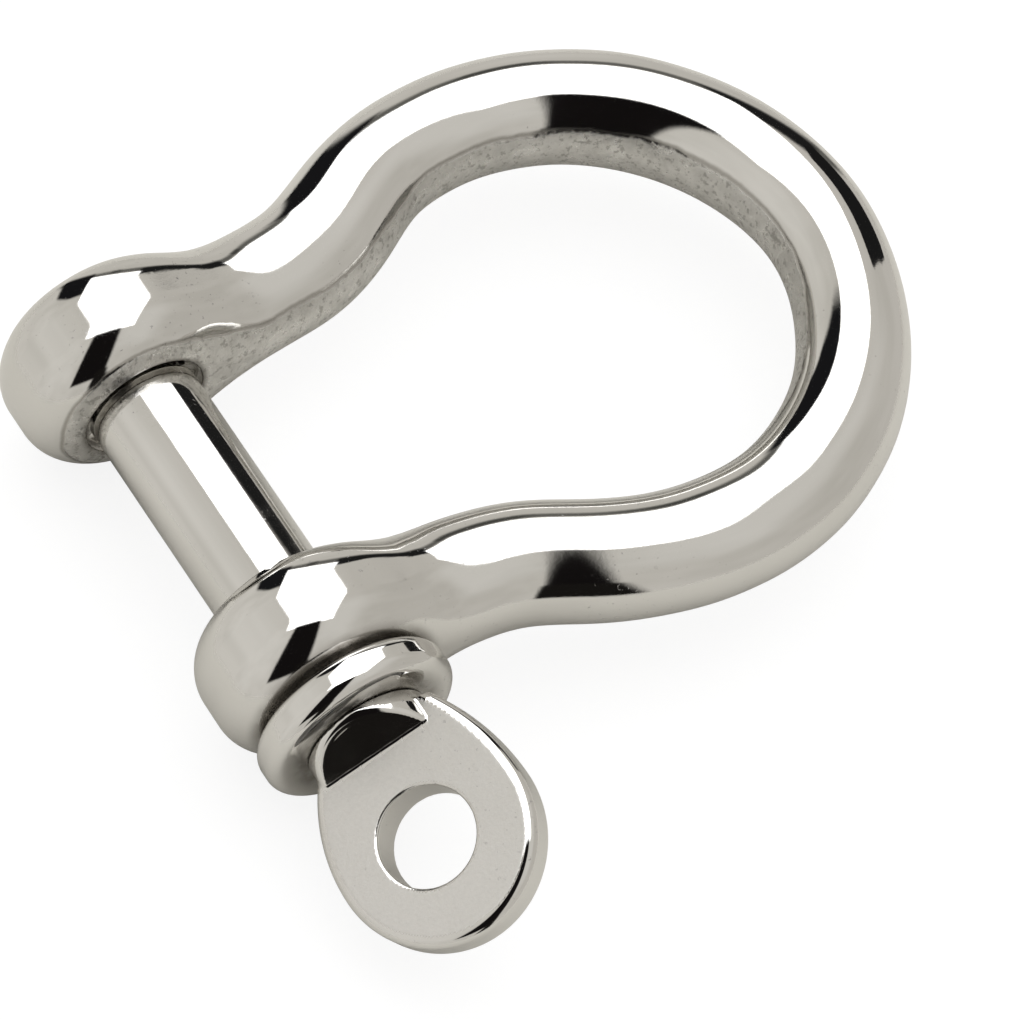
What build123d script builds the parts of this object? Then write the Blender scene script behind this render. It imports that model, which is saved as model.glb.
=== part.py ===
from build123d import *
import math
import os

# Bow shackle with a screw pin, nominal size 10 mm.
# Frame: the origin is on the pin axis, midway between the ears. +X points to the
# crown of the bow, +Y runs along the pin from its head to its threaded end, and
# +Z is normal to the plane of the bow. The near ear is at -Y, the far ear at +Y.
# All lengths are in mm, all angles in degrees.

ROD = 10.0                # nominal rod and pin diameter
OVERCUT = 1.0             # how far cutting shapes run past the faces they cut

# ---- ears ----
EAR_R = 9.8
EAR_ROUND = 4.2           # rounding of the ears' edges
JAW = 21.7                # clear gap between the ears
EAR_IN = JAW / 2          # inner face of an ear, from the middle of the jaw
EAR_OUT = 21.8            # outer face
EAR_MID = (EAR_IN + EAR_OUT) / 2
EAR_LENGTH = EAR_OUT - EAR_IN

NEAR_HOLE_R = 5.3         # clearance hole in the near ear
NEAR_HOLE_CHAMFER = 0.4
CSK_IN_R = 5.85           # 45 degree countersinks of the far ear: mouth radius and depth
CSK_IN_DEPTH = 2.1
CSK_OUT_R = CSK_IN_R - 0.5
CSK_OUT_DEPTH = 1.8

# ---- bow rod ----
LEG_Y = 16.35             # centreline of a leg where it enters its ear
# the part of each leg inside its ear: x, half width
LEG_ROOT = [(4.5, 5.50), (8.5, 5.48)]
# half heights of the first three sections from each end, where the leg swells into the ear
SWELL_HEIGHTS = [8.0, 6.95, 5.62]
ELLIPSE_MARGIN = 1e-4     # keeps the round sections true ellipses, taller than wide

# centreline of the forged rod, from the near leg round the crown to the far leg:
# x, y, rod radius. Bent and polished by hand, so the two sides differ a little.
CENTRELINE = [
    (14.00, -16.50, 5.38), (19.51, -17.52, 5.32), (24.58, -19.91, 5.26),
    (29.72, -22.07, 5.21), (35.17, -23.21, 5.19), (40.74, -23.23, 5.20),
    (46.15, -21.84, 5.18), (51.02, -19.10, 5.12), (55.12, -15.31, 5.03),
    (58.21, -10.67, 4.96), (60.29, -5.51, 4.93), (61.12, 0.00, 4.99),
    (60.39, 5.54, 5.09), (58.32, 10.73, 5.15), (55.11, 15.30, 5.16),
    (50.96, 19.02, 5.14), (46.09, 21.70, 5.08), (40.74, 23.22, 5.03),
    (35.15, 23.41, 5.03), (29.65, 22.29, 5.13), (24.66, 19.74, 5.36),
    (19.53, 17.45, 5.42), (13.98, 16.66, 5.42),
]

# ---- pin shank and thread ----
PIN_R = ROD / 2
SHOULDER_Y = 11.45        # end of the full shank, inside the countersink
SHOULDER_CHAMFER = 0.35
RELIEF_START = SHOULDER_Y + 0.3
RELIEF_END = 12.7         # end of the thread relief groove
RELIEF_STEP = 0.08        # the groove is this much deeper than the thread root
PIN_TIP = 21.6            # end of the thread
TIP_CHAMFER = 0.55

PITCH = 1.5               # M10 coarse, right hand
THREAD_MAJOR_R = 4.93     # external thread crest
THREAD_MINOR_R = 4.08     # external thread root
CREST_W = 0.19            # external thread crest width
FEMALE_MINOR_R = 4.25     # internal thread crest
FEMALE_MAJOR_R = 5.06     # internal thread root
FEMALE_GAP = 0.10         # axial opening of the internal groove on each flank
THREAD_START = RELIEF_END - 2 * PITCH
THREAD_TURNS = 9.0
RIDGE_SINK = 0.12         # how far a ridge's base is sunk into its core
FLANK_SPREAD = 2 * math.tan(math.radians(30))   # ridge width gained per unit of depth

# the thread's two ends are trimmed by cones that reach past the crest
TRIM_R = THREAD_MAJOR_R + 0.5
START_TRIM = 1.35
TIP_TRIM = 1.45

# ---- collar ----
COLLAR_R = 8.95
COLLAR_ROUND = 1.3        # collar rim rounding
COLLAR_IN = 21.88         # collar face towards the ear
COLLAR_OUT = 25.3         # collar face towards the eye
COLLAR_BORE = 5.06        # bore radius, around the shank

# ---- eye and stem, drawn flat in XY with the flats facing Z; distances along -Y ----
EYE_TILT = -31.5          # turn of the eye about the pin axis
EYE_T = 3.85              # thickness between the eye's flats
HALF_T = EYE_T / 2
EYE_HOLE_R = 4.3
EYE_HOLE_X = -0.3         # the punched hole sits a little off the middle of the eye
EYE_HOLE_CHAMFER = 0.3
EYE_Y = 36.7              # eye hole centre, from the middle of the jaw
EYE_EDGE = 1.0            # rounding of the eye's rim
EYE_HALF_W = 9.05         # half width of the eye at its hole
EYE_END = 9.55            # from the hole's centre to the eye's far end
EYE_SIDE_R = 15.8         # outline radius from the hole towards the collar, -X side
EYE_FULL_SIDE_R = 22.0    # the same on the fuller +X side
EYE_ROOT = 26.5           # the outline starts here, inside the stem
MIN_RIM_LENGTH = 3        # a rim edge spans more than this along Y
FLAT_START = 28.3         # where the flats begin
STEM_R = 5.6              # round stem between the collar and the flats
STEM_START = COLLAR_OUT + 0.05   # just clear of the collar
SLOPE = 55.0              # the shoulders rise from the flats at this angle
SHOULDER_SKEW = -5.0      # the hand-ground shoulders are not quite square to the pin


def revolved(points):
    """A solid of revolution about the Y axis, from (radius, y) points."""
    outline = Polyline(*[(r, y, 0) for r, y in points], close=True)
    return revolve(make_face(outline), axis=Axis.Y)


def y_cylinder(radius, length, y):
    """A cylinder along the Y axis, centred at y."""
    return Pos(0, y, 0) * Cylinder(radius, length, rotation=(90, 0, 0))


def helix_ridge(root_r, crest_r, root_w, crest_w):
    """A right-hand helical ridge about the Y axis, from THREAD_START towards +Y."""
    mean_r = (root_r + crest_r) / 2
    path = Edge.make_helix(PITCH, THREAD_TURNS * PITCH, mean_r,
                           center=(0, 0, 0), normal=(0, 0, 1))
    plane = Plane(origin=path.position_at(0), x_dir=(1, 0, 0), z_dir=(0, -1, 0))
    profile = Polyline(
        (root_r - mean_r, -root_w / 2), (crest_r - mean_r, -crest_w / 2),
        (crest_r - mean_r, crest_w / 2), (root_r - mean_r, root_w / 2), close=True,
    )
    ridge = sweep(plane * make_face(profile), path=path, is_frenet=True)
    # the helix rises along +Z, so lay it along +Y
    return Pos(0, THREAD_START, 0) * (Rot(-90, 0, 0) * ridge)


# ---- bow: forged rod with an ear at each end ----
def make_rod():
    """The bent rod, lofted through elliptical sections square to its centreline."""
    stations = [(x, -LEG_Y, r) for x, r in LEG_ROOT]
    stations += CENTRELINE
    stations += [(x, LEG_Y, r) for x, r in reversed(LEG_ROOT)]
    heights = [r + ELLIPSE_MARGIN for _, _, r in stations]
    for i, height in enumerate(SWELL_HEIGHTS):
        heights[i] = heights[-1 - i] = height

    centre = Spline(*[(x, y, 0) for x, y, _ in stations], tangents=[(1, 0, 0), (-1, 0, 0)])
    rings = []
    for (x, y, half_w), height in zip(stations, heights):
        along = centre.param_at_point(Vector(x, y, 0))
        plane = Plane(origin=centre.position_at(along), x_dir=(0, 0, 1),
                      z_dir=centre.tangent_at(along))
        rings.append(Wire(Edge.make_ellipse(height, half_w, plane=plane)))
    return Part(Solid.make_loft(rings).wrapped)


def make_ear(side):
    """A ball-like ear about the pin axis; side is 1 for +Y, -1 for -Y."""
    blank = y_cylinder(EAR_R, EAR_LENGTH, side * EAR_MID)
    return fillet(blank.edges().filter_by(GeomType.CIRCLE), EAR_ROUND)


def near_hole_cutter():
    """Plain clearance hole with a 45 degree chamfer at each mouth."""
    flare_r = NEAR_HOLE_R + NEAR_HOLE_CHAMFER + OVERCUT
    return revolved([
        (0, -EAR_IN + OVERCUT), (flare_r, -EAR_IN + OVERCUT),
        (NEAR_HOLE_R, -EAR_IN - NEAR_HOLE_CHAMFER),
        (NEAR_HOLE_R, -EAR_OUT + NEAR_HOLE_CHAMFER),
        (flare_r, -EAR_OUT - OVERCUT), (0, -EAR_OUT - OVERCUT),
    ])


def tap_cutter():
    """The threaded hole's shape: a core with a helical ridge."""
    crest_w = CREST_W + 2 * FEMALE_GAP + FLANK_SPREAD * (THREAD_MAJOR_R - FEMALE_MAJOR_R)
    root_w = crest_w + FLANK_SPREAD * (FEMALE_MAJOR_R - FEMALE_MINOR_R + RIDGE_SINK)
    groove = helix_ridge(FEMALE_MINOR_R - RIDGE_SINK, FEMALE_MAJOR_R, root_w, crest_w)
    core = y_cylinder(FEMALE_MINOR_R, EAR_LENGTH + 8, EAR_MID)
    # the groove is kept only in the ear and a little past its faces
    return core + (groove & y_cylinder(7, EAR_LENGTH + 2.2, EAR_MID))


def make_bow():
    bow = make_rod() + make_ear(1) + make_ear(-1)
    bow = bow - near_hole_cutter()
    bow = bow - tap_cutter()
    bow = bow - revolved([
        (0, EAR_IN - OVERCUT), (CSK_IN_R + OVERCUT, EAR_IN - OVERCUT),
        (CSK_IN_R - CSK_IN_DEPTH, EAR_IN + CSK_IN_DEPTH), (0, EAR_IN + CSK_IN_DEPTH),
    ])
    return bow - revolved([
        (0, EAR_OUT - CSK_OUT_DEPTH), (CSK_OUT_R - CSK_OUT_DEPTH, EAR_OUT - CSK_OUT_DEPTH),
        (CSK_OUT_R + OVERCUT, EAR_OUT + OVERCUT), (0, EAR_OUT + OVERCUT),
    ])


# ---- pin: shank, thread, stem and eye in one ----
def make_shank():
    """The shank, running 1 mm past the collar into the stem, and the thread's core."""
    head_end = -COLLAR_OUT - 1.0
    relief_r = THREAD_MINOR_R - RELIEF_STEP
    return revolved([
        (0, head_end), (PIN_R, head_end), (PIN_R, SHOULDER_Y - SHOULDER_CHAMFER),
        (PIN_R - SHOULDER_CHAMFER, SHOULDER_Y), (relief_r, RELIEF_START),
        (relief_r, RELIEF_END), (THREAD_MINOR_R, RELIEF_END + RELIEF_STEP),
        (THREAD_MINOR_R, PIN_TIP - TIP_CHAMFER),
        (THREAD_MINOR_R - TIP_CHAMFER, PIN_TIP), (0, PIN_TIP),
    ])


def make_thread():
    """The external ridge, tapered off at both ends."""
    root_w = CREST_W + FLANK_SPREAD * (THREAD_MAJOR_R - THREAD_MINOR_R + RIDGE_SINK)
    ridge = helix_ridge(THREAD_MINOR_R - RIDGE_SINK, THREAD_MAJOR_R, root_w, CREST_W)
    trim_start = RELIEF_END - 0.1
    trim_end = PIN_TIP - 0.02
    envelope = revolved([
        (0, trim_start), (THREAD_MINOR_R - 0.1, trim_start),
        (TRIM_R, RELIEF_END + START_TRIM), (TRIM_R, PIN_TIP - TIP_TRIM),
        (THREAD_MINOR_R - 0.45, trim_end), (0, trim_end),
    ])
    return ridge & envelope


def half_width(y, side_r):
    """Half width of the eye between its root and its hole, for a side arc of side_r."""
    return EYE_HALF_W - side_r + math.sqrt(side_r ** 2 - (EYE_Y - y) ** 2)


def make_lug():
    """The eye's flat plate with its rim rounded."""
    mid_y = (EYE_ROOT + EYE_Y) / 2
    root_left = (-half_width(EYE_ROOT, EYE_SIDE_R), -EYE_ROOT)
    root_right = (half_width(EYE_ROOT, EYE_FULL_SIDE_R), -EYE_ROOT)
    mid_left = (-half_width(mid_y, EYE_SIDE_R), -mid_y)
    mid_right = (half_width(mid_y, EYE_FULL_SIDE_R), -mid_y)
    lug = extrude(make_face([
        ThreePointArc(root_right, mid_right, (EYE_HALF_W, -EYE_Y)),
        EllipticalCenterArc((0, -EYE_Y), EYE_HALF_W, EYE_END, start_angle=180, arc_size=180),
        ThreePointArc((-EYE_HALF_W, -EYE_Y), mid_left, root_left),
        Line(root_left, root_right),
    ]), amount=HALF_T, both=True)
    rim = [
        e for e in lug.edges()
        if e.bounding_box().size.Z < 1e-3 and e.bounding_box().size.Y > MIN_RIM_LENGTH
    ]
    return fillet(rim, EYE_EDGE)


def shoulder_wedge(side):
    """What is kept of the stem on one side in Z: it slopes up from the flat."""
    high_y = STEM_START - 2
    high_z = HALF_T + (FLAT_START - high_y) * math.tan(math.radians(SLOPE))
    face = make_face(Polyline(
        (0, -FLAT_START, 0), (0, -FLAT_START, side * HALF_T),
        (0, -high_y, side * high_z), (0, -high_y, 0), close=True,
    ))
    wedge = extrude(face, amount=12, dir=(1, 0, 0), both=True)
    # skew it about the line where the flats begin
    return Pos(0, -FLAT_START, 0) * (Rot(0, 0, SHOULDER_SKEW) * (Pos(0, FLAT_START, 0) * wedge))


def eye_hole_cutter():
    """The eye's hole with a 45 degree chamfer at each flat."""
    low = HALF_T - EYE_HOLE_CHAMFER
    high = HALF_T + OVERCUT
    cone = revolve(make_face(Polyline(
        (0, 0, low), (EYE_HOLE_R, 0, low),
        (EYE_HOLE_R + EYE_HOLE_CHAMFER + OVERCUT, 0, high), (0, 0, high), close=True,
    )), axis=Axis.Z)
    cutter = Cylinder(EYE_HOLE_R, 20) + cone + mirror(cone, about=Plane.XY)
    return Pos(EYE_HOLE_X, -EYE_Y, 0) * cutter


def make_eye():
    """The stem and eye, turned about the pin axis."""
    stem_end = -FLAT_START - 1
    stem = revolved([(0, -STEM_START), (STEM_R, -STEM_START), (STEM_R, stem_end), (0, stem_end)])
    stem = (stem & shoulder_wedge(1)) + (stem & shoulder_wedge(-1))
    eye = make_lug() + stem
    return Rot(0, EYE_TILT, 0) * (eye - eye_hole_cutter())


# ---- collar: the round flange that seats on the near ear ----
def make_collar():
    collar = revolved([
        (COLLAR_BORE, -COLLAR_IN), (COLLAR_R, -COLLAR_IN),
        (COLLAR_R, -COLLAR_OUT), (COLLAR_BORE, -COLLAR_OUT),
    ])
    circles = collar.edges().filter_by(GeomType.CIRCLE)
    return fillet([e for e in circles if abs(e.radius - COLLAR_R) < 1e-3], COLLAR_ROUND)


PIECES = {
    "bow": make_bow(),
    "screw_pin": make_shank() + make_thread() + make_eye(),
    "pin_collar": make_collar(),
}
os.makedirs("parts", exist_ok=True)
for name, shape in PIECES.items():
    solids = shape.solids()
    export_step(solids[0] if len(solids) == 1 else shape, f"parts/{name}.step")
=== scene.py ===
import math
import bpy
import numpy as np
from mathutils import Matrix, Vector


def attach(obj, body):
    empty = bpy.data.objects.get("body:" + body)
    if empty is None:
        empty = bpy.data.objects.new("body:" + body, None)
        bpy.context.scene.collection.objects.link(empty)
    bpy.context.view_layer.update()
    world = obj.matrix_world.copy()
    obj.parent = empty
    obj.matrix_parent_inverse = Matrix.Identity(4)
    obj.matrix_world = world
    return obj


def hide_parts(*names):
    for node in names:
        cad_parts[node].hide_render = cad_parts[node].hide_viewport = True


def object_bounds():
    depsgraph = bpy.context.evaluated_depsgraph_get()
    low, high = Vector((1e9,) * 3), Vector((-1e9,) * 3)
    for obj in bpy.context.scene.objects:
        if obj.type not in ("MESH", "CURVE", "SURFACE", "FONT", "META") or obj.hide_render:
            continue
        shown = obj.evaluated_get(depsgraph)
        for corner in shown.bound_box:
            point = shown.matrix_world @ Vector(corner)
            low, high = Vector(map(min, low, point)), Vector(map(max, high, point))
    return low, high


# A bow shackle with a screw pin. The pieces are meshed here from the same sizes as the design,
# finely enough for a mirror polish, and each one stands for one node of the frame.
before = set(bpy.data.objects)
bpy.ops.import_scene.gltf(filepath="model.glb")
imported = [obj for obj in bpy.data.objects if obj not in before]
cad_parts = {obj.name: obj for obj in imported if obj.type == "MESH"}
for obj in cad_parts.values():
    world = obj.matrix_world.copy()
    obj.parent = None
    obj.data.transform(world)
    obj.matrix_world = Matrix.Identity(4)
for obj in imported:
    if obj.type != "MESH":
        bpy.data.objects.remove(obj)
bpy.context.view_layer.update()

# ---------- sizes, mm, the same as the design ----------
EAR_R, EAR_ROUND, EAR_IN, EAR_OUT, LEG_Y = 9.8, 4.3, 10.85, 21.8, 16.35
NEAR_HOLE_R, CSK_R, FEM_MINOR, FEM_MAJOR = 5.3, 5.85, 4.25, 5.06
PITCH, MAJOR_R, MINOR_R, CREST_W = 1.5, 4.93, 4.08, 0.19
PIN_R, SHOULDER_Y, RELIEF_END, PIN_TIP = 5.0, 11.45, 12.7, 21.6
COLLAR_R, COLLAR_ROUND, COLLAR_IN, COLLAR_OUT, COLLAR_BORE = 8.95, 1.3, 21.88, 25.3, 5.06
TILT, EYE_T, EYE_HOLE_R, EYE_HOLE_OFF, EYE_Y, EYE_EDGE = math.radians(-31.5), 3.85, 4.3, -0.3, 36.7, 1.0
EYE_HALF_W, EYE_END, EYE_SIDE_R, EYE_SIDE_R2 = 9.05, 9.55, 15.8, 22.0
EYE_ROOT, FLAT_START, STEM_R, SLOPE = 26.5, 28.3, 5.6, math.radians(55.0)
SKEW = math.radians(5.0)
THREAD_Y0 = RELIEF_END - 2 * PITCH
CENTRELINE = [
    (14.00, -16.50, 5.38), (19.51, -17.52, 5.32), (24.58, -19.91, 5.26), (29.72, -22.07, 5.21),
    (35.17, -23.21, 5.19), (40.74, -23.23, 5.20), (46.15, -21.84, 5.18), (51.02, -19.10, 5.12),
    (55.12, -15.31, 5.03), (58.21, -10.67, 4.96), (60.29, -5.51, 4.93), (61.12, 0.00, 4.99),
    (60.39, 5.54, 5.09), (58.32, 10.73, 5.15), (55.11, 15.30, 5.16), (50.96, 19.02, 5.14),
    (46.09, 21.70, 5.08), (40.74, 23.22, 5.03), (35.15, 23.41, 5.03), (29.65, 22.29, 5.13),
    (24.66, 19.74, 5.36), (19.53, 17.45, 5.42), (13.98, 16.66, 5.42),
]


# ---------- the bow's centreline ----------
def cubic(t, v, ends):
    """Second derivatives of a clamped cubic spline through v at t."""
    n = len(t); A = np.zeros((n, n)); b = np.zeros(n); h = np.diff(t)
    for i in range(1, n - 1):
        A[i, i - 1], A[i, i], A[i, i + 1] = h[i - 1], 2 * (h[i - 1] + h[i]), h[i]
        b[i] = 6 * ((v[i + 1] - v[i]) / h[i] - (v[i] - v[i - 1]) / h[i - 1])
    A[0, 0], A[0, 1], b[0] = 2 * h[0], h[0], 6 * ((v[1] - v[0]) / h[0] - ends[0])
    A[-1, -1], A[-1, -2], b[-1] = 2 * h[-1], h[-1], 6 * (ends[1] - (v[-1] - v[-2]) / h[-1])
    return np.linalg.solve(A, b)


def spline_at(t, v, m, q):
    i = np.clip(np.searchsorted(t, q) - 1, 0, len(t) - 2); h = t[i + 1] - t[i]
    a, b = (t[i + 1] - q) / h, (q - t[i]) / h
    return a * v[i] + b * v[i + 1] + ((a ** 3 - a) * m[i] + (b ** 3 - b) * m[i + 1]) * h * h / 6


class Path:
    """The bow's centreline in the XY plane, as a dense table over arc length."""

    def __init__(self):
        root = [(-12.0, LEG_Y, 5.475), (4.5, LEG_Y, 5.475), (8.5, LEG_Y, 5.46)]
        P = np.array([(x, -y, r) for x, y, r in root] + CENTRELINE + root[::-1], float)
        t = np.concatenate([[0], np.cumsum(np.hypot(*np.diff(P[:, :2], axis=0).T))])
        mx, my, mr = cubic(t, P[:, 0], (1, -1)), cubic(t, P[:, 1], (0, 0)), cubic(t, P[:, 2], (0, 0))
        q = np.linspace(0, t[-1], 12001)
        x, y = spline_at(t, P[:, 0], mx, q), spline_at(t, P[:, 1], my, q)
        s = np.concatenate([[0], np.cumsum(np.hypot(np.diff(x), np.diff(y)))])
        self.n = 4001
        self.s = np.linspace(0, s[-1], self.n)
        self.length = s[-1]
        qq = np.interp(self.s, s, q)
        self.x, self.y = spline_at(t, P[:, 0], mx, qq), spline_at(t, P[:, 1], my, qq)
        self.r = spline_at(t, P[:, 2], mr, qq)
        self.tx, self.ty = np.gradient(self.x, self.s), np.gradient(self.y, self.s)
        l = np.hypot(self.tx, self.ty); self.tx /= l; self.ty /= l
        self.k = (self.tx * np.gradient(self.ty, self.s) - self.ty * np.gradient(self.tx, self.s))

    def at(self, s, name):
        return np.interp(s, self.s, getattr(self, name))

    def nearest(self, x, y, s=None):
        """Arc length of the nearest point, and the signed offset from it, positive outwards."""
        if s is None:
            c = np.arange(0, self.n, 25)
            s = np.empty(len(x)); step = 40000
            for i in range(0, len(x), step):
                d = (x[i:i + step, None] - self.x[c]) ** 2 + (y[i:i + step, None] - self.y[c]) ** 2
                s[i:i + step] = self.s[c][d.argmin(1)]
        for _ in range(3):
            cx, cy, tx, ty, k = (self.at(s, n) for n in ("x", "y", "tx", "ty", "k"))
            ex, ey = x - cx, y - cy
            s = np.clip(s + (ex * tx + ey * ty) / np.clip(1 - k * (ey * tx - ex * ty), 0.25, 4), 0, self.length)
        cx, cy, tx, ty = (self.at(s, n) for n in ("x", "y", "tx", "ty"))
        return s, (x - cx) * ty - (y - cy) * tx


PATH = Path()


# ---------- field helpers: below 0 is inside ----------
def smooth(a, b, x):
    t = np.clip((x - a) / (b - a), 0, 1)
    return t * t * (3 - 2 * t)


def waves(x, y, z, amp, length, seed):
    """Slow, low waves in a surface, as forging and hand polishing leave."""
    g = np.random.RandomState(seed); out = 0
    for i in range(6):
        d = g.normal(size=3); d /= np.linalg.norm(d)
        k = 2 * np.pi / (length * g.uniform(0.7, 1.6))
        out = out + np.sin((x * d[0] + y * d[1] + z * d[2]) * k + g.uniform(0, 6.28))
    return amp * out / 6 ** 0.5


LEG_H = 5.45


def soft_min(a, b, k):
    h = np.maximum(k - np.abs(a - b), 0) / k
    return np.minimum(a, b) - h * h * h * k / 6


def ear_outline(x, z):
    """Distance to the side outline of an ear and its leg: a round ear that flows into a straight leg."""
    ear = np.hypot(x, z) - EAR_R
    c = 3.0 * (1 - smooth(-8.0, 2.0, x)) + 1e-3
    leg = np.hypot(z, c) - c - LEG_H + 7.0 * (1 - smooth(-8.0, 9.0, x)) + 8.0 * (1 - smooth(-9.6, -2.0, x))
    return soft_min(ear, leg, 7.5)


def round_and(a, b, r):
    return np.minimum(np.maximum(a + r, b + r), 0) + np.hypot(np.maximum(a + r, 0), np.maximum(b + r, 0)) - r


def round_or(a, b, r):
    return -round_and(-a, -b, r)


def bow_field(x, y, z, s, u):
    """The bow, without its internal thread."""
    tube = np.hypot(u, z) - PATH.at(s, "r")
    t = smooth(5.0, 14.0, x)
    uu = np.where(x < 4.5, np.abs(y) - LEG_Y, u)
    ear = round_and(ear_outline(x, z), np.abs(uu) - (5.475 - 0.03 * t), EAR_ROUND + t * (5.40 - EAR_ROUND))
    m = smooth(10.5, 16.5, x)
    f = ear * (1 - m) + tube * m + waves(x, y, z, 0.022, 10.0, 3)
    rho = np.hypot(x, z)
    near = round_and(f, NEAR_HOLE_R - rho, 0.5)
    bore = np.maximum(np.maximum(CSK_R - (y - EAR_IN), 3.55 + y - 20.0), 4.0)
    far = round_and(f, (bore - rho) * 0.75, 0.28)
    return np.where(x < 12, np.where(y < 0, near, far), f)


def thread_radius(x, y, z, crest, half, root):
    """Radius of a right-hand helical ridge about Y: crest half as wide as half, 30 degree flanks, down to root."""
    turn = np.arctan2(-z, x) / (2 * np.pi)
    d = (y - THREAD_Y0) / PITCH - turn
    d = np.abs(d - np.round(d)) * PITCH
    return np.maximum(crest - np.maximum(d - half, 0) / math.tan(math.radians(30)), root)


def eye_outline(x, y):
    """Distance to the outline of the eye, drawn flat."""
    dy = y + EYE_Y
    rho = np.maximum(np.hypot(x / EYE_HALF_W, dy / EYE_END), 1e-6)
    low = (rho - 1) * rho / np.maximum(np.hypot(x / EYE_HALF_W ** 2, dy / EYE_END ** 2), 1e-6)
    sr = np.where(x < 0, EYE_SIDE_R, EYE_SIDE_R2)
    side = np.hypot(np.abs(x) + sr - EYE_HALF_W, dy) - sr
    return np.where(dy < 0, low, side)


def head_field(x, y, z):
    """The eye and its stem, in the eye's own frame: flats face Z."""
    h = EYE_T / 2
    lug = round_and(eye_outline(x, y), np.abs(z) - h, EYE_EDGE)
    lug = np.maximum(lug, y + EYE_ROOT)
    cyl = np.hypot(x, z) - STEM_R
    yy = (y + FLAT_START) * math.cos(SKEW) + math.sin(SKEW) * x
    slope_d = (np.abs(z) - h) * math.cos(SLOPE) - yy * math.sin(SLOPE)
    stem = round_and(cyl, slope_d, 0.38)
    f = round_or(lug, stem, 0.22)
    f = round_and(f, y + COLLAR_OUT + 0.06, 0.15)
    hole = EYE_HOLE_R - np.hypot(x - EYE_HOLE_OFF, y + EYE_Y)
    return round_and(f, hole, 0.28)


# ---------- meshing a field ----------
def net(V, lo, h):
    """Surface nets: a closed quad mesh of V = 0, from values on a grid."""
    n = V.shape
    ins = V < 0
    c = np.zeros(np.array(n) - 1, np.int8)
    for i in (0, 1):
        for j in (0, 1):
            for k in (0, 1):
                c += ins[i:n[0] - 1 + i, j:n[1] - 1 + j, k:n[2] - 1 + k]
    mixed = (c > 0) & (c < 8)
    idx = -np.ones(mixed.shape, int); idx[mixed] = np.arange(mixed.sum())
    cell = np.argwhere(mixed)
    pos = np.zeros((len(cell), 3)); cnt = np.zeros(len(cell))
    corner = [(i, j, k) for i in (0, 1) for j in (0, 1) for k in (0, 1)]
    for a in range(8):
        for b in range(a + 1, 8):
            A, B = np.array(corner[a]), np.array(corner[b])
            if abs(A - B).sum() != 1:
                continue
            ca, cb = cell + A, cell + B
            va, vb = V[tuple(ca.T)], V[tuple(cb.T)]
            m = (va < 0) != (vb < 0)
            t = np.where(m, va / np.where(m, va - vb, 1), 0)
            pos[m] += (ca + (cb - ca) * t[:, None])[m]; cnt[m] += 1
    verts = np.array(lo) + h * pos / cnt[:, None]
    quads = []
    for axis in range(3):
        s0 = [slice(None)] * 3; s1 = [slice(None)] * 3
        s0[axis] = slice(0, n[axis] - 1); s1[axis] = slice(1, n[axis])
        a, b = ins[tuple(s0)], ins[tuple(s1)]
        e = np.argwhere(a != b)
        o = [i for i in range(3) if i != axis]
        q = []
        for d0, d1 in ((0, 0), (1, 0), (1, 1), (0, 1)):
            k = e.copy(); k[:, o[0]] -= 1 - d0; k[:, o[1]] -= 1 - d1
            q.append(idx[tuple(k.T)])
        q = np.stack(q, 1)
        flip = a[tuple(e.T)]
        if axis == 1:
            flip = ~flip
        q[~flip] = q[~flip][:, ::-1]
        quads.append(q)
    return verts, np.concatenate(quads)


def slope(f, p, e=2e-3):
    g = np.empty_like(p)
    for i in range(3):
        a, b = p.copy(), p.copy(); a[:, i] += e; b[:, i] -= e
        g[:, i] = (f(a) - f(b)) / (2 * e)
    return g


def relax(verts, quads, f, rounds=3, h=0.3):
    """Evens out a mesh and puts every point exactly on f = 0."""
    edges = np.concatenate([quads[:, [0, 1]], quads[:, [1, 2]], quads[:, [2, 3]], quads[:, [3, 0]]])
    edges = np.unique(np.sort(edges, 1), axis=0)
    deg = np.bincount(edges.ravel(), minlength=len(verts)).astype(float)

    def project(p):
        v = f(p); g = slope(f, p)
        return p - g * (v / np.maximum((g * g).sum(1), 1e-2))[:, None].clip(-h, h), g
    p, g = project(verts)
    for _ in range(rounds):
        acc = np.zeros_like(p)
        for c in range(3):
            acc[:, c] = np.bincount(edges[:, 0], p[edges[:, 1], c], len(p)) + np.bincount(edges[:, 1], p[edges[:, 0], c], len(p))
        d = acc / deg[:, None] - p
        n = g / np.maximum(np.linalg.norm(g, axis=1), 1e-9)[:, None]
        d -= n * (d * n).sum(1)[:, None]
        p, g = project(p + 0.6 * d)
    p, g = project(p)
    return p, g / np.maximum(np.linalg.norm(g, axis=1), 1e-9)[:, None]


def bow_at(p, keep={}):
    s, u = PATH.nearest(p[:, 0], p[:, 1], keep.get("s") if len(keep.get("s", ())) == len(p) else None)
    keep["s"] = s
    return bow_field(p[:, 0], p[:, 1], p[:, 2], s, u)


def bow_mesh(h):
    lo = (-10.8, -30.1, -10.8)
    n = [int(math.ceil(d / h)) + 1 for d in (78.0, 60.0, 21.6)]
    ax = [lo[i] + h * np.arange(n[i]) for i in range(3)]
    X, Y = np.meshgrid(ax[0], ax[1], indexing="ij")
    s, u = PATH.nearest(X.ravel(), Y.ravel())
    near = (np.abs(u) < 6.6) | ((X.ravel() < 12) & (np.abs(np.abs(Y.ravel()) - LEG_Y) < 7))
    V = np.ones((X.size, n[2]))
    V[near] = bow_field(X.ravel()[near][:, None], Y.ravel()[near][:, None], ax[2][None, :], s[near][:, None], u[near][:, None])
    v, q = net(V.reshape(n), lo, h)
    return relax(v, q, bow_at) + (q,)


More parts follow.
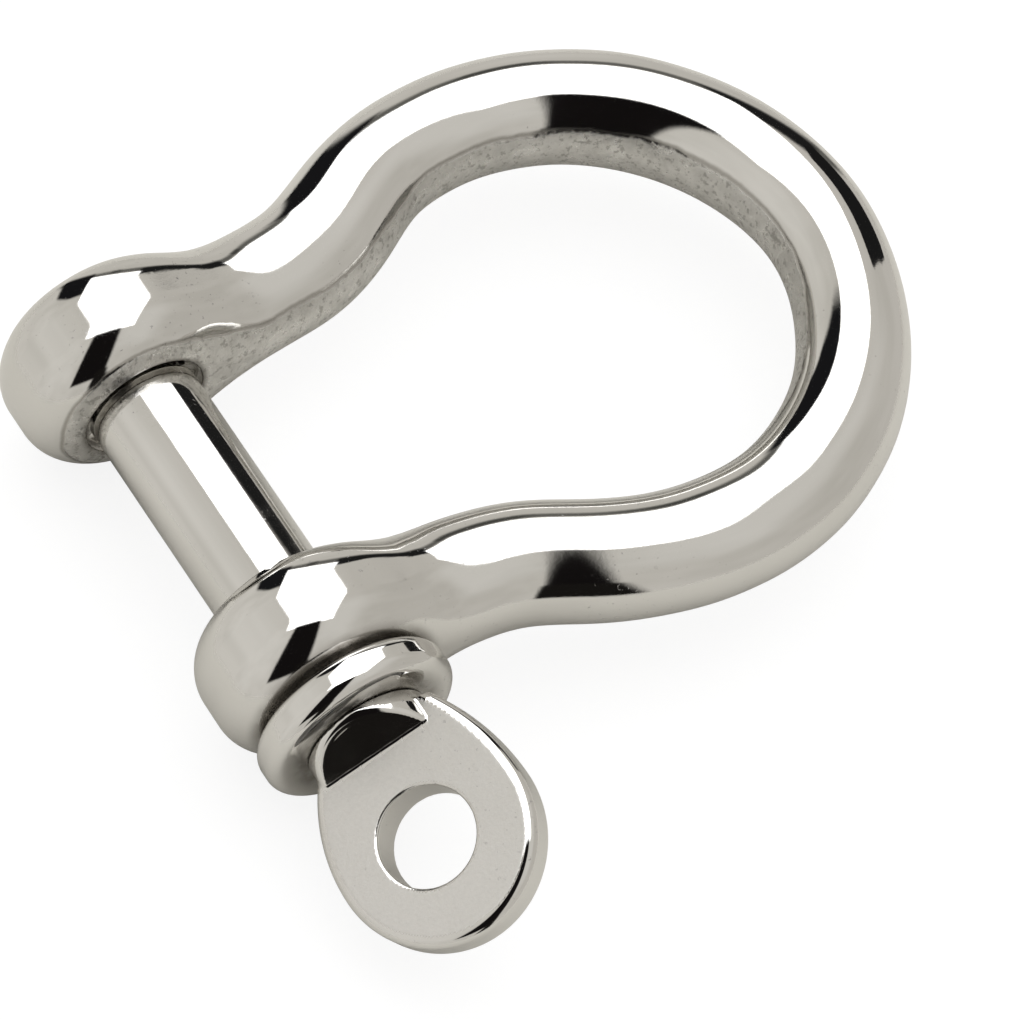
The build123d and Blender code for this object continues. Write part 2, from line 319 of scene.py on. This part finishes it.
def head_mesh(h):
    lo = (-10.0, -47.0, -6.4)
    n = [int(math.ceil(d / h)) + 1 for d in (20.0, 22.4, 12.8)]
    ax = [lo[i] + h * np.arange(n[i]) for i in range(3)]
    X, Y, Z = np.meshgrid(*ax, indexing="ij")
    v, q = net(head_field(X, Y, Z), lo, h)
    p, nn = relax(v, q, lambda p: head_field(*p.T), h=0.15)
    R = tilt_matrix()
    return p @ R.T, nn @ R.T, q


def tilt_matrix():
    c, s = math.cos(TILT), math.sin(TILT)
    return np.array([[c, 0, s], [0, 1, 0], [-s, 0, c]])


def lathe(rows, radius, n):
    """A closed mesh about Y from rows of y and a radius function of x, y, z on the unit circle. Ends are capped."""
    a = np.arange(n) * 2 * np.pi / n
    cx, cz = np.cos(a), np.sin(a)
    y = np.repeat(rows, n); x = np.tile(cx, len(rows)); z = np.tile(cz, len(rows))
    r = radius(x, y, z)
    v = np.stack([r * x, y, r * z], 1)
    i = np.arange(len(rows) - 1)[:, None] * n; j = np.arange(n)[None, :]; k = (j + 1) % n
    q = np.stack([i + j, i + n + j, i + n + k, i + k], -1).reshape(-1, 4)
    v = np.concatenate([v, [[0, rows[0], 0], [0, rows[-1], 0]]])
    e0, e1 = len(v) - 2, len(v) - 1
    j, k = j[0], k[0]
    caps = [(e0, int(a), int(b)) for a, b in zip(j, k)] + [(e1, int(b), int(a)) for a, b in zip(j + (len(rows) - 1) * n, k + (len(rows) - 1) * n)]
    return v, q, caps


def shank_mesh():
    pts = [(-26.2, PIN_R), (-25.0, PIN_R), (-20, PIN_R), (SHOULDER_Y - 0.40, PIN_R)]
    a = np.linspace(0, math.pi / 2, 6)[1:]
    pts += [(SHOULDER_Y - 0.40 + 0.35 * math.sin(t), PIN_R - 0.35 + 0.35 * math.cos(t)) for t in a]
    root = MINOR_R - 0.08
    pts += [(SHOULDER_Y + 0.02, root + 0.30), (SHOULDER_Y + 0.10, root + 0.12), (SHOULDER_Y + 0.28, root), (RELIEF_END - 0.05, root)]
    rows = np.unique(np.round(np.concatenate([np.linspace(-26.2, 11.0, 90), [p[0] for p in pts],
                                              np.arange(RELIEF_END - 0.2, PIN_TIP - 0.6, 0.055), np.linspace(PIN_TIP - 0.6, PIN_TIP, 14)]), 4))
    py, pr = np.array(pts).T

    def radius(x, y, z):
        shaft = np.interp(y, py, pr)
        ridge = thread_radius(x, y, z, MAJOR_R, CREST_W / 2, MINOR_R)
        ends = np.minimum(MINOR_R - 0.05 + (y - RELIEF_END) * 0.7, MINOR_R - 0.50 + (PIN_TIP - y) * 0.95)
        ends = np.minimum(ends, MINOR_R - 0.42 + np.sqrt(np.clip(0.6 ** 2 - (np.clip(y - PIN_TIP + 0.6, 0, 0.6)) ** 2, 0, 1)) + np.where(y < PIN_TIP - 0.6, 9, 0))
        t = np.minimum(ridge, np.maximum(ends, 0.5))
        return np.where(y > RELIEF_END - 0.05, t, shaft)
    return lathe(rows, radius, 144)


def tap_mesh():
    rows = np.concatenate([[8.5], np.arange(9.6, 23.0, 0.06), [24.0]])

    def radius(x, y, z):
        return thread_radius(x, y, z, FEM_MAJOR, 0.12, FEM_MINOR)
    return lathe(rows, radius, 144)


def collar_mesh():
    """The collar's section goes round once: bore, broken inner edges, faces, round rims."""
    sec = []
    def arc(cr, cy, r, a0, a1, n):
        for t in np.radians(np.linspace(a0, a1, n)):
            sec.append((cr + r * math.cos(t), cy + r * math.sin(t)))
    c, i, o = COLLAR_ROUND, COLLAR_IN, COLLAR_OUT
    e = 0.12
    arc(COLLAR_R - c, -i - c, c, 90, 0, 13)          # rim towards the ear
    arc(COLLAR_R - c, -o + c, c, 0, -90, 13)         # rim towards the eye
    for r in (7.2, 6.7, 6.2, 5.8, 5.5): sec.append((r, -o))
    arc(COLLAR_BORE + e, -o + e, e, -90, -180, 5)
    for y in (24.6, 24.0, 23.4, 22.8, 22.4): sec.append((COLLAR_BORE, -y))
    arc(COLLAR_BORE + e, -i - e, e, 180, 90, 5)
    for r in (5.5, 5.9, 6.4, 6.9, 7.3): sec.append((r, -i))
    S = np.array(sec); n, m = 240, len(S)
    a = np.arange(n) * 2 * np.pi / n
    v = np.stack([np.outer(np.cos(a), S[:, 0]), np.tile(S[:, 1], (n, 1)), np.outer(np.sin(a), S[:, 0])], -1).reshape(-1, 3)
    i = np.arange(n)[:, None]; j = np.arange(m)[None, :]
    q = np.stack([i * m + j, ((i + 1) % n) * m + j, ((i + 1) % n) * m + (j + 1) % m, i * m + (j + 1) % m], -1).reshape(-1, 4)
    return v, q


# ---------- Blender meshes ----------
MM = 0.001


def to_mesh(name, verts, quads, tris=()):
    me = bpy.data.meshes.new(name)
    nq, nt = len(quads), len(tris)
    loops = np.concatenate([np.asarray(quads, np.int32).ravel(), np.asarray(tris, np.int32).ravel()])
    me.vertices.add(len(verts)); me.vertices.foreach_set("co", (np.asarray(verts) * MM).astype(np.float32).ravel())
    me.loops.add(len(loops)); me.loops.foreach_set("vertex_index", loops.astype(np.int32))
    me.polygons.add(nq + nt)
    start = np.concatenate([np.arange(nq) * 4, nq * 4 + np.arange(nt) * 3]).astype(np.int32)
    me.polygons.foreach_set("loop_start", start)
    me.update(calc_edges=True)
    me.validate()
    return me


def boolean(name, a, b, how):
    """a and b are meshes; gives one new mesh."""
    oa, ob = bpy.data.objects.new(name + "_a", a), bpy.data.objects.new(name + "_b", b)
    for o in (oa, ob):
        bpy.context.scene.collection.objects.link(o)
    m = oa.modifiers.new("cut", "BOOLEAN")
    m.operation, m.object = how, ob
    m.solver = "MANIFOLD"
    bpy.context.view_layer.update()
    out = bpy.data.meshes.new_from_object(oa.evaluated_get(bpy.context.evaluated_depsgraph_get()))
    if len(out.vertices) == len(a.vertices):
        m.solver = "EXACT"
        bpy.context.view_layer.update()
        out = bpy.data.meshes.new_from_object(oa.evaluated_get(bpy.context.evaluated_depsgraph_get()))
    for o in (oa, ob):
        bpy.data.objects.remove(o)
    out.name = name
    return out


def coords(me):
    co = np.zeros(len(me.vertices) * 3, np.float32); me.vertices.foreach_get("co", co)
    return co.reshape(-1, 3).astype(float) / MM


def tidy(v, f, weld):
    """Weld vertices, drop triangles that collapsed or folded onto each other, and keep the one large shell."""
    key = np.round(v / weld).astype(np.int64)
    _, first, inv = np.unique(key, axis=0, return_index=True, return_inverse=True)
    f, v = inv.ravel()[f], v[first]
    for _ in range(4):
        f = f[(f[:, 0] != f[:, 1]) & (f[:, 1] != f[:, 2]) & (f[:, 2] != f[:, 0])]
        _, inv, n = np.unique(np.sort(f, axis=1), axis=0, return_inverse=True, return_counts=True)
        if n.max() == 1:
            break
        f = f[n[inv.ravel()] == 1]
    # an edge that four triangles share is a pinch a few microns long: its two ends become one
    for _ in range(6):
        e = np.sort(np.concatenate([f[:, [0, 1]], f[:, [1, 2]], f[:, [2, 0]]]), axis=1)
        u, n = np.unique(e, axis=0, return_counts=True)
        if n.max() == 2:
            break
        to = np.arange(len(v))
        to[u[n > 2, 1]] = u[n > 2, 0]
        f = to[to[f]]
        f = f[(f[:, 0] != f[:, 1]) & (f[:, 1] != f[:, 2]) & (f[:, 2] != f[:, 0])]
        _, inv, n = np.unique(np.sort(f, axis=1), axis=0, return_inverse=True, return_counts=True)
        f = f[n[inv.ravel()] == 1]
    lab = np.arange(len(v))
    while True:
        low = lab[f].min(axis=1)
        new = lab.copy()
        np.minimum.at(new, f.ravel(), np.repeat(low, 3))
        new = new[new]
        if (new == lab).all():
            break
        lab = new
    root = lab[f[:, 0]]
    big = np.bincount(root).argmax()
    f = f[root == big]
    used, f = np.unique(f.ravel(), return_inverse=True)
    return v[used], f.reshape(-1, 3)


def single_shell(me):
    """A cut mesh made again as one closed shell of triangles."""
    me.calc_loop_triangles()
    f = np.zeros(len(me.loop_triangles) * 3, np.int32); me.loop_triangles.foreach_get("vertices", f)
    v, f = tidy(coords(me), f.reshape(-1, 3).astype(np.int64), 0.0005)
    name = me.name
    me.name = name + "_raw"
    return to_mesh(name, v, np.zeros((0, 4), np.int32), f)


def loop_verts(me):
    lv = np.zeros(len(me.loops), np.int32); me.loops.foreach_get("vertex_index", lv)
    return lv


def put(me, name, values):
    a = me.attributes.new(name, "FLOAT", "POINT")
    a.data.foreach_set("value", np.asarray(values, np.float32))


def shade(me, normals, known):
    """Smooth shading; points on a known surface get that surface's own normal, the rest get the faces' normals."""
    me.polygons.foreach_set("use_smooth", np.ones(len(me.polygons), bool))
    lv = loop_verts(me)
    fn = np.zeros(len(me.polygons) * 3, np.float32); me.polygons.foreach_get("normal", fn); fn = fn.reshape(-1, 3)
    tot = np.zeros(len(me.polygons), np.int32); me.polygons.foreach_get("loop_total", tot)
    area = np.zeros(len(me.polygons), np.float32); me.polygons.foreach_get("area", area)
    lf = np.repeat(np.arange(len(me.polygons)), tot)
    # smooth normals within 35 degrees of each loop's own face
    acc = np.zeros((len(me.vertices), 3))
    for c in range(3):
        acc[:, c] = np.bincount(lv, fn[lf, c] * area[lf], len(me.vertices))
    acc /= np.maximum(np.linalg.norm(acc, axis=1), 1e-12)[:, None]
    n = np.where(known[lv][:, None], normals[lv], acc[lv])
    off = (n * fn[lf]).sum(1) < math.cos(math.radians(38))
    n[off] = fn[lf][off]
    me.normals_split_custom_set(n.tolist())


def piece(name, me, body, node):
    ob = bpy.data.objects.new(name, me)
    bpy.context.scene.collection.objects.link(ob)
    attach(ob, body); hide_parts(node)
    return ob


# bow
bp, bn, bq = bow_mesh(0.36)
raw = to_mesh("bow_raw", bp, bq)
tv, tq, tc = tap_mesh()
bow_me = single_shell(boolean("bow_forging", raw, to_mesh("tap", tv, tq, tc), "DIFFERENCE"))
P = coords(bow_me)
on = np.abs(bow_at(P)) < 0.004
N = slope(bow_at, P); N /= np.maximum(np.linalg.norm(N, axis=1), 1e-9)[:, None]
shade(bow_me, N, on)
S_, U_ = PATH.nearest(P[:, 0], P[:, 1])
put(bow_me, "inward", -(N[:, 0] * PATH.at(S_, "ty") - N[:, 1] * PATH.at(S_, "tx")))
rho = np.hypot(P[:, 0], P[:, 2])
# painted shade with some grime: darker colour in the crease where the collar meets the near ear, and round the hole
# mouths on the ears' inner faces where the pin casts shade
groove = smooth(1.7, 0.3, np.hypot(rho - 7.9, P[:, 1] + 21.85))
mouth = smooth(0.85, 0.15, np.hypot(rho - 5.5, np.abs(P[:, 1]) - EAR_IN))
put(bow_me, "gap_shade_and_grime", np.maximum(groove, mouth))
put(bow_me, "polished", on.astype(float))
bow = piece("bow_forging", bow_me, "bow", "bow")

# pin
hp, hn, hq = head_mesh(0.18)
sv, sq, sc = shank_mesh()
pin_me = boolean("pin_and_eye", to_mesh("head_raw", hp, hq), to_mesh("shank_raw", sv, sq, sc), "UNION")
P = coords(pin_me)
L = P @ tilt_matrix()
onh = (np.abs(head_field(*L.T)) < 0.004) & (P[:, 1] < -COLLAR_OUT)
NL = slope(lambda p: head_field(*p.T), L); NL /= np.maximum(np.linalg.norm(NL, axis=1), 1e-9)[:, None]
shade(pin_me, NL @ tilt_matrix().T, onh)
flat = (np.abs(NL[:, 2]) > 0.985) & onh & (np.abs(np.abs(L[:, 2]) - EYE_T / 2) < 0.02)
put(pin_me, "flat", flat.astype(float))
put(pin_me, "thread", ((P[:, 1] > SHOULDER_Y) & (np.hypot(P[:, 0], P[:, 2]) < 4.99)).astype(float))
pin = piece("pin_and_eye", pin_me, "pin", "screw_pin")

# collar
cv, cq = collar_mesh()
collar_me = to_mesh("pin_flange", cv, cq)
rho = np.hypot(cv[:, 0], cv[:, 2])
# painted shade with some grime: darker colour where the collar meets the ear, and a painted reflection of shade on
# its face towards the eye
put(collar_me, "gap_shade_and_grime", np.maximum(smooth(1.15, 0.2, np.hypot(rho - 7.9, cv[:, 1] + 21.85)), 0.9 * smooth(2.5, 0.5, np.hypot(rho - 5.4, cv[:, 1] + COLLAR_OUT))))
shade(collar_me, np.zeros((len(cv), 3)), np.zeros(len(cv), bool))
collar = piece("pin_flange", collar_me, "collar", "pin_collar")


# ---------- node helpers ----------
class Tree:
    def __init__(self, nt):
        self.nt = nt
        nt.nodes.clear()

    def node(self, kind, ins=None, **props):
        n = self.nt.nodes.new(kind)
        for k, v in props.items():
            setattr(n, k, v)
        for k, v in (ins or {}).items():
            s = n.inputs[k]
            if isinstance(v, bpy.types.NodeSocket):
                self.nt.links.new(v, s)
            else:
                s.default_value = v
        return n

    def math(self, op, a, b=0.0, c=0.0, clamp=False):
        return self.node("ShaderNodeMath", {0: a, 1: b, 2: c}, operation=op, use_clamp=clamp).outputs[0]

    def vec(self, op, a, b=(0, 0, 0)):
        n = self.node("ShaderNodeVectorMath", {0: a, 1: b}, operation=op)
        return n.outputs["Value"] if op in ("DOT_PRODUCT", "LENGTH") else n.outputs[0]

    def step(self, x, a, b, lo=0.0, hi=1.0):
        """Smooth step: lo at a, hi at b."""
        n = self.node("ShaderNodeMapRange", {"Value": x, "From Min": a, "From Max": b, "To Min": lo, "To Max": hi},
                      interpolation_type="SMOOTHSTEP")
        return n.outputs[0]

    def mix(self, f, a, b):
        n = self.node("ShaderNodeMix", None, data_type="RGBA")
        for i, v in ((0, f), (6, a), (7, b)):
            if isinstance(v, bpy.types.NodeSocket):
                self.nt.links.new(v, n.inputs[i])
            else:
                n.inputs[i].default_value = v if i == 0 else (tuple(v) + (1.0,) if len(v) == 3 else v)
        return n.outputs[2]

    def noise(self, co, scale, detail=3.0, rough=0.55, distort=0.0):
        return self.node("ShaderNodeTexNoise", {"Vector": co, "Scale": scale, "Detail": detail, "Roughness": rough, "Distortion": distort}).outputs["Fac"]


# ---------- camera ----------
def camera_axes(az, el, roll):
    a, e, r = (math.radians(v) for v in (az, el, roll))
    back = np.array([math.sin(a) * math.cos(e), -math.cos(a) * math.cos(e), math.sin(e)])
    right = np.array([math.cos(a), math.sin(a), 0.0]); up = np.cross(back, right)
    return math.cos(r) * right + math.sin(r) * up, -math.sin(r) * right + math.cos(r) * up, back


RIGHT, UP, BACK = camera_axes(-40.65, 57.513, 10.349)
AIM, DIST = np.array([21.933, -12.648, 0.0]), 520.237
cam_data = bpy.data.cameras.new("camera")
cam_data.sensor_width, cam_data.lens = 36.0, 36.0 * 6158.507 / 1020
cam_data.clip_start, cam_data.clip_end = 0.01, 50.0
cam = bpy.data.objects.new("camera", cam_data)
bpy.context.scene.collection.objects.link(cam)
place = (AIM + DIST * BACK) * MM
cam.matrix_world = Matrix([[RIGHT[i], UP[i], BACK[i], place[i]] for i in range(3)] + [[0, 0, 0, 1]])
bpy.context.scene.camera = cam

# ---------- studio: a light tent with a top softbox, dark gaps and the dark slot the camera looks through ----------
world = bpy.data.worlds.new("studio")
bpy.context.scene.world = world
world.use_nodes = True
t = Tree(world.node_tree)
d = t.vec("NORMALIZE", t.node("ShaderNodeTexCoord").outputs["Generated"])
db = t.vec("DOT_PRODUCT", d, tuple(BACK))
k = t.math("POWER", t.math("MAXIMUM", t.math("MULTIPLY_ADD", db, 2.0, 2.0), 1e-4), -0.5)
NX = t.math("MULTIPLY", t.vec("DOT_PRODUCT", d, tuple(RIGHT)), k)
NY = t.math("MULTIPLY", t.vec("DOT_PRODUCT", d, tuple(UP)), k)


def card(points, soft):
    """A convex card, given by its corners in the order they go round clockwise, in half-way coordinates."""
    out = None
    for (x0, y0), (x1, y1) in zip(points, points[1:] + points[:1]):
        l = math.hypot(x1 - x0, y1 - y0); a, b = (y1 - y0) / l, -(x1 - x0) / l
        e = t.math("MULTIPLY_ADD", NX, a, t.math("MULTIPLY_ADD", NY, b, -(a * x0 + b * y0)))
        e = t.step(e, -soft, soft)
        out = e if out is None else t.math("MULTIPLY", out, e)
    return out


side = t.step(NX, -1.0, 0.9)
base = t.mix(side, (0.70, 0.678, 0.632), (0.585, 0.562, 0.522))
low = t.step(NY, -0.2, -0.9)
base = t.mix(t.math("MULTIPLY", low, 0.5), base, (0.69, 0.67, 0.63))
cloud = t.noise(d, 2.2, 2.0)
base = t.mix(t.step(cloud, 0.35, 0.7, 0.0, 0.30), base, (0.43, 0.415, 0.375))
CARDS = [
    ([(-0.66, 0.74), (-0.40, 0.775), (0.05, 0.785), (0.05, 0.735), (-0.45, 0.69)], 0.02, (0.055, 0.055, 0.05), 0.85),
    ([(-0.05, 0.785), (0.40, 0.775), (0.72, 0.74), (0.74, 0.66), (0.45, 0.69), (-0.05, 0.735)], 0.02, (0.055, 0.055, 0.05), 0.85),
    ([(-0.60, 0.42), (-0.16, 0.16), (-0.20, -0.40), (-0.60, -0.35)], 0.12, (0.83, 0.81, 0.77), 0.40),
    ([(0.16, 0.45), (0.48, 0.45), (0.48, -0.15), (0.16, -0.15)], 0.10, (0.78, 0.765, 0.73), 0.5),
    ([(-0.53, 0.77), (-0.22, 0.79), (-0.20, 0.52), (-0.36, 0.50), (-0.50, 0.56)], 0.022, (0.010, 0.010, 0.011), 1.0),
    ([(0.22, 0.765), (0.45, 0.757), (0.58, 0.715), (0.59, 0.684), (0.36, 0.670), (0.24, 0.625)], 0.014, (0.014, 0.014, 0.014), 1.0),
    ([(-0.235, 0.735), (0.245, 0.71), (0.268, 0.57), (0.258, 0.19), (-0.21, 0.19)], 0.012, (2.6, 2.6, 2.6), 1.0),
    ([(-0.12, 0.205), (0.14, 0.205), (0.195, -0.45), (-0.17, -0.43)], 0.018, (0.007, 0.006, 0.006), 1.0),
    ([(0.10, -0.35), (0.20, -0.35), (0.27, -0.63), (0.08, -0.61)], 0.02, (0.010, 0.009, 0.008), 1.0),
]
colour = base
for pts, soft, rad, power in CARDS:
    m = card(pts, soft)
    colour = t.mix(t.math("MULTIPLY", m, power), colour, rad)
path = t.node("ShaderNodeLightPath")
# the paper and the backdrop get an even light; reflections see the cards
main = t.vec("DOT_PRODUCT", d, (0.35, 0.41, 0.84))
sky = t.mix(t.step(main, 0.25, 0.95), (0.22, 0.22, 0.215), (1.75, 1.75, 1.73))
plain = t.node("ShaderNodeBackground", {"Color": t.mix(path.outputs["Is Camera Ray"], sky, (1.0, 1.0, 1.0)), "Strength": 1.0})
tent = t.node("ShaderNodeBackground", {"Color": colour, "Strength": 1.0})
both = t.node("ShaderNodeMixShader", {0: path.outputs["Is Glossy Ray"], 1: plain.outputs[0], 2: tent.outputs[0]})
t.nt.links.new(both.outputs[0], t.node("ShaderNodeOutputWorld").inputs[0])
world.cycles.sampling_method = "NONE"

# floor
lo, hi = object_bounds()
side_m = 1.6
fv = [(-side_m, -side_m, 0), (side_m, -side_m, 0), (side_m, side_m, 0), (-side_m, side_m, 0)]
fm = bpy.data.meshes.new("floor"); fm.from_pydata(fv, [], [(0, 1, 2, 3)])
floor = bpy.data.objects.new("floor", fm)
bpy.context.scene.collection.objects.link(floor)
floor.location = (0, 0, -0.00985)
fmat = bpy.data.materials.new("pale_paper"); fmat.use_nodes = True
t = Tree(fmat.node_tree)
tc = t.node("ShaderNodeTexCoord").outputs["Object"]
grain = t.noise(tc, 900.0, 2.0)
seen = t.node("ShaderNodeLightPath").outputs["Is Camera Ray"]
paper = t.mix(seen, t.mix(grain, (0.66, 0.64, 0.595), (0.69, 0.67, 0.625)), (0.20, 0.20, 0.20))
dif = t.node("ShaderNodeBsdfDiffuse", {"Color": paper})
emi = t.node("ShaderNodeEmission", {"Color": (1, 1, 1, 1), "Strength": t.math("MULTIPLY", seen, 0.86)})
add = t.node("ShaderNodeAddShader", {0: dif.outputs[0], 1: emi.outputs[0]})
# reflections see a sheet of paper that ends, the camera sees it go on
far = t.step(t.vec("LENGTH", t.vec("SUBTRACT", tc, (0.022, -0.008, 0.0))), 0.065, 0.105)
gone = t.math("MULTIPLY", far, t.math("SUBTRACT", 1.0, seen))
out = t.node("ShaderNodeMixShader", {0: gone, 1: add.outputs[0], 2: t.node("ShaderNodeBsdfTransparent").outputs[0]})
t.nt.links.new(out.outputs[0], t.node("ShaderNodeOutputMaterial").inputs[0])
fm.materials.append(fmat)

# a small dark card beside the bow, which only reflections see
FLAG = [(-14, 14), (-16, 4), (-15, -15), (12, -20.5), (15.5, -18), (15.5, -6), (11, 16), (9, 19.5), (5, 19.6)]
aim = np.array([0.89222, 0.34356, 0.22551]); aim /= np.linalg.norm(aim)
across = np.cross(aim, (0.0, 0.0, 1.0)); across /= np.linalg.norm(across)
upward = np.cross(across, aim)
mid = np.array([62.748, -2.481, 4.432]) + 60.0 * aim
dm = bpy.data.meshes.new("dark_card")
dm.from_pydata([tuple((mid + u * across + v * upward) * MM) for u, v in FLAG], [], [tuple(range(len(FLAG)))])
flag = bpy.data.objects.new("dark_card", dm)
bpy.context.scene.collection.objects.link(flag)
flag.visible_camera = flag.visible_diffuse = flag.visible_shadow = flag.visible_transmission = False
black = bpy.data.materials.new("black_card"); black.use_nodes = True
t = Tree(black.node_tree)
t.nt.links.new(t.node("ShaderNodeEmission", {"Color": (0.012, 0.012, 0.012, 1.0), "Strength": 1.0}).outputs[0], t.node("ShaderNodeOutputMaterial").inputs[0])
dm.materials.append(black)


# ---------- materials ----------
def attr(t, name):
    return t.node("ShaderNodeAttribute", attribute_name=name).outputs["Fac"]


def steel(name, kind):
    m = bpy.data.materials.new(name); m.use_nodes = True
    t = Tree(m.node_tree)
    co = t.node("ShaderNodeTexCoord").outputs["Object"]
    # slow colour change, smudges and fine hairlines of the polish
    tone = t.noise(co, 60.0, 2.0)
    col = t.mix(t.step(tone, 0.3, 0.7), (0.79, 0.78, 0.76), (0.745, 0.735, 0.71))
    smudge = t.noise(co, 230.0, 4.0, 0.6)
    rough = t.step(smudge, 0.45, 0.8, 0.045, 0.095)
    hair_co = t.vec("MULTIPLY", co, (1.0, 0.06, 1.0)) if kind == "pin" else t.vec("MULTIPLY", co, (0.35, 1.0, 1.0))
    hair = t.noise(hair_co, 9000.0, 2.0, 0.7)
    height = t.math("MULTIPLY", hair, 0.0000009)
    micro = t.noise(co, 1500.0, 2.0, 0.6)
    height = t.math("MULTIPLY_ADD", micro, 0.0000014, height)
    # sparse specks left by handling, in a few patches
    speck = t.math("MULTIPLY", t.step(t.noise(co, 2400.0, 2.0, 0.6), 0.655, 0.72), t.step(t.noise(co, 95.0, 2.0), 0.50, 0.62))
    col = t.mix(t.math("MULTIPLY", speck, 0.55), col, (0.30, 0.29, 0.30))
    rough = t.math("MAXIMUM", rough, t.math("MULTIPLY", speck, 0.32))
    if kind != "pin":
        # painted shade with some grime: a dark brown colour and a rougher finish mixed in where the mesh carries the
        # crease and hole-mouth mask
        gap_shade_and_grime = t.math("MULTIPLY", attr(t, "gap_shade_and_grime"), t.step(t.noise(co, 700.0, 3.0), 0.25, 0.6, 0.65, 1.0))
        col = t.mix(t.math("MULTIPLY", gap_shade_and_grime, 0.85), col, (0.11, 0.095, 0.075))
        rough = t.math("MAXIMUM", rough, t.math("MULTIPLY", gap_shade_and_grime, 0.30))
    if kind == "bow":
        inward = attr(t, "inward")
        wob = t.noise(co, 240.0, 3.0)
        edge = t.math("MULTIPLY_ADD", t.math("SUBTRACT", wob, 0.5), 0.10, inward)
        inner = t.step(edge, 0.845, 0.885)
        line = t.math("MULTIPLY", t.step(edge, 0.80, 0.845), t.step(edge, 0.895, 0.85))
        pits = t.noise(co, 1500.0, 4.0, 0.65)
        deep = t.step(pits, 0.47, 0.36)
        mottle = t.noise(co, 520.0, 4.0, 0.65)
        col = t.mix(t.math("MULTIPLY", inner, t.step(mottle, 0.38, 0.68, 0.06, 0.40)), col, (0.46, 0.45, 0.425))
        col = t.mix(t.math("MULTIPLY", inner, t.math("MULTIPLY", deep, 0.50)), col, (0.20, 0.19, 0.175))
        col = t.mix(t.math("MULTIPLY", line, 0.62), col, (0.20, 0.185, 0.155))
        rough = t.math("MAXIMUM", rough, t.math("MULTIPLY", line, 0.22))
        rough = t.math("MAXIMUM", rough, t.math("MULTIPLY", inner, t.step(mottle, 0.3, 0.7, 0.24, 0.42)))
        rh = t.math("MULTIPLY_ADD", pits, 0.00010, t.math("MULTIPLY", mottle, 0.00012))
        height = t.math("MULTIPLY_ADD", t.math("MULTIPLY", rh, inner), 1.0, height)
        height = t.math("MULTIPLY_ADD", t.step(edge, 0.80, 0.90), 0.00002, height)
        raw = t.math("SUBTRACT", 1.0, attr(t, "polished"))
        col = t.mix(t.math("MULTIPLY", raw, 0.6), col, (0.40, 0.385, 0.36))
        rough = t.math("MAXIMUM", rough, t.math("MULTIPLY", raw, 0.26))
    if kind == "pin":
        flat = attr(t, "flat"); thread = attr(t, "thread")
        sat = t.noise(t.vec("MULTIPLY", co, (1.0, 1.0, 1.0)), 2600.0, 3.0, 0.7)
        col = t.mix(t.math("MULTIPLY", flat, t.step(sat, 0.3, 0.75, 0.25, 0.6)), col, (0.62, 0.61, 0.59))
        rough = t.math("MAXIMUM", rough, t.math("MULTIPLY", flat, t.step(sat, 0.3, 0.7, 0.30, 0.42)))
        height = t.math("MULTIPLY_ADD", t.math("MULTIPLY", sat, flat), 0.000018, height)
        col = t.mix(t.math("MULTIPLY", thread, 0.45), col, (0.50, 0.49, 0.465))
        rough = t.math("MAXIMUM", rough, t.math("MULTIPLY", thread, 0.2))
    normal = t.node("ShaderNodeNewGeometry").outputs["Normal"]
    if kind == "pin":
        # the shank's reflections lean a little along the pin
        along = t.node("ShaderNodeSeparateXYZ", {0: co}).outputs[1]
        shank = t.math("MULTIPLY", t.step(along, -0.0222, -0.0214), t.step(along, 0.0112, 0.0106))
        lean = t.node("ShaderNodeCombineXYZ", {1: t.math("MULTIPLY", shank, 0.06)}).outputs[0]
        normal = t.vec("NORMALIZE", t.vec("ADD", normal, lean))
    bump = t.node("ShaderNodeBump", {"Strength": 1.0, "Distance": 1.0, "Height": height, "Normal": normal})
    bsdf = t.node("ShaderNodeBsdfPrincipled", {"Base Color": col, "Metallic": 1.0, "Roughness": rough, "Normal": bump.outputs[0]})
    t.nt.links.new(bsdf.outputs[0], t.node("ShaderNodeOutputMaterial").inputs[0])
    return m


for ob, name, kind in ((bow, "polished_forging", "bow"), (pin, "polished_pin", "pin"), (collar, "polished_collar", "collar")):
    ob.data.materials.clear()
    ob.data.materials.append(steel(name, kind))

scene = bpy.context.scene
scene.view_settings.view_transform = "Standard"
scene.view_settings.look = "None"
scene.cycles.max_bounces = 8
scene.cycles.diffuse_bounces = 1
scene.cycles.glossy_bounces = 6
